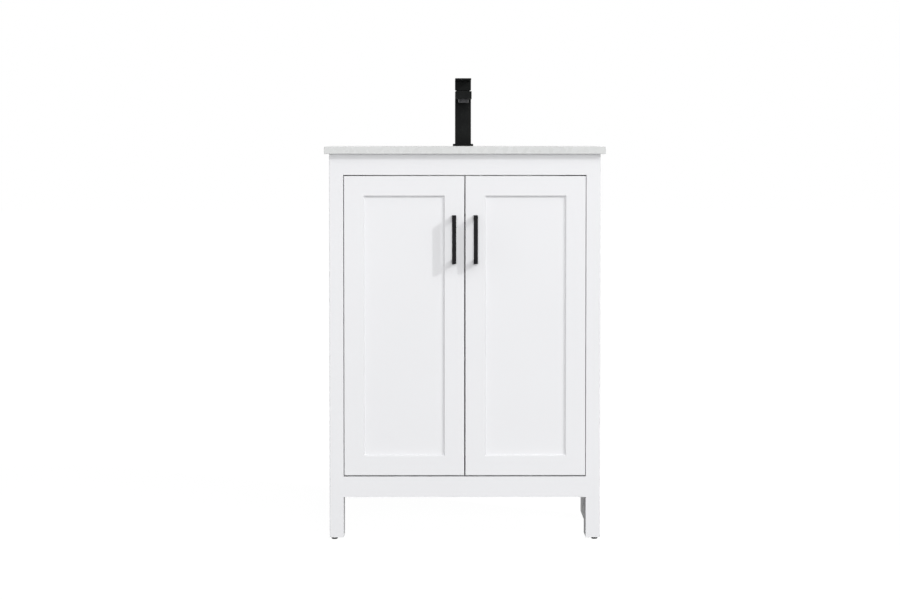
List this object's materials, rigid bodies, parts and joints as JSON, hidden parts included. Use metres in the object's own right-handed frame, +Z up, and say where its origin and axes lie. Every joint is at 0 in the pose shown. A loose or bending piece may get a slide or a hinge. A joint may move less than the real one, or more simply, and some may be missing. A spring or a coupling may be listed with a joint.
{
  "type": "bathroom vanity cabinet",
  "caption": "Free-standing white vanity cabinet with shaker doors, stone counter, undermount basin and a black single-lever mixer, for a bathroom wall.",
  "frame": {"origin": "on the floor, at the middle of the whole object's width and depth", "axes": "+Z up, the doors face -Y, +X to the right seen from the front"},
  "size_m": [0.6096, 0.5056, 1.0148],
  "materials": {
    "white_paint": "satin white lacquer over wood",
    "interior_board": "white melamine-faced board",
    "bare_wood": "unfinished softwood",
    "engineered_stone": "polished pale grey quartz",
    "basin_ceramic": "gloss white glaze",
    "chrome_trim": "polished chrome",
    "drain_plastic": "moulded white plastic",
    "seal_rubber": "black rubber",
    "aerator_plastic": "dark moulded insert",
    "glide_plastic": "dark moulded plastic",
    "mixer_black": "matte black coating",
    "handle_black": "matte black coating",
    "shank_brass": "machined brass",
    "plated_steel": "nickel-plated steel"
  },
  "bodies": {
    "cabinet": {"back_bottom_rail": "interior_board", "back_panel": "interior_board", "back_top_rail": "interior_board", "basin": "basin_ceramic", "basin_clip_screws": "plated_steel", "basin_clips": "plated_steel", "bottom_panel": "interior_board", "corner_blocks": "bare_wood", "countertop": "engineered_stone", "drain_flange": "chrome_trim", "drain_gasket": "seal_rubber", "drain_nut": "drain_plastic", "drain_tailpiece": "drain_plastic", "front_bottom_rail": "white_paint", "front_left_leg": "white_paint", "front_right_leg": "white_paint", "front_top_rail": "white_paint", "hinge_arms": "plated_steel", "hinge_plates": "plated_steel", "left_side_panel": "white_paint", "leg_glides": "glide_plastic", "mixer_aerator": "aerator_plastic", "mixer_base_plate": "mixer_black", "mixer_column": "mixer_black", "mixer_nut": "plated_steel", "mixer_shank": "shank_brass", "mixer_spout": "mixer_black", "mixer_washer": "seal_rubber", "overflow_duct": "basin_ceramic", "overflow_ring": "chrome_trim", "plate_screws": "plated_steel", "rear_left_leg": "white_paint", "rear_right_leg": "white_paint", "right_side_panel": "white_paint", "shelf": "interior_board", "shelf_pins": "plated_steel", "stopper_guide": "chrome_trim"},
    "left_door": {"left_cup_screws": "plated_steel", "left_door_bottom_rail": "white_paint", "left_door_hinge_stile": "white_paint", "left_door_lock_stile": "white_paint", "left_door_panel": "white_paint", "left_door_top_rail": "white_paint", "left_handle": "handle_black", "left_handle_screws": "plated_steel", "left_hinge_cups": "plated_steel", "left_hinge_pins": "plated_steel"},
    "right_door": {"right_cup_screws": "plated_steel", "right_door_bottom_rail": "white_paint", "right_door_hinge_stile": "white_paint", "right_door_lock_stile": "white_paint", "right_door_panel": "white_paint", "right_door_top_rail": "white_paint", "right_handle": "handle_black", "right_handle_screws": "plated_steel", "right_hinge_cups": "plated_steel", "right_hinge_pins": "plated_steel"},
    "stopper": {"drain_stopper": "chrome_trim"},
    "swivel": {"mixer_neck": "mixer_black"},
    "lever": {"mixer_lever": "mixer_black"}
  },
  "joints": [
    {"name": "left_door_hinge", "type": "hinge", "parent": "cabinet", "child": "left_door", "pos_m": [-0.2438, -0.2118, 0.4702], "axis": [0, 0, -1], "range_deg": [0, 105]},
    {"name": "right_door_hinge", "type": "hinge", "parent": "cabinet", "child": "right_door", "pos_m": [0.2438, -0.2118, 0.4702], "axis": [0, 0, 1], "range_deg": [0, 105]},
    {"name": "stopper_lift", "type": "slide", "parent": "cabinet", "child": "stopper", "axis": [0, 0, 1], "range_m": [0, 0.009]},
    {"name": "lever_swivel", "type": "hinge", "parent": "cabinet", "child": "swivel", "pos_m": [0, 0.2, 0.986], "axis": [0, 0, 1], "range_deg": [-45, 45]},
    {"name": "lever_lift", "type": "hinge", "parent": "swivel", "child": "lever", "pos_m": [0, 0.212, 0.9927], "axis": [-1, 0, 0], "range_deg": [0, 25]}
  ]
}
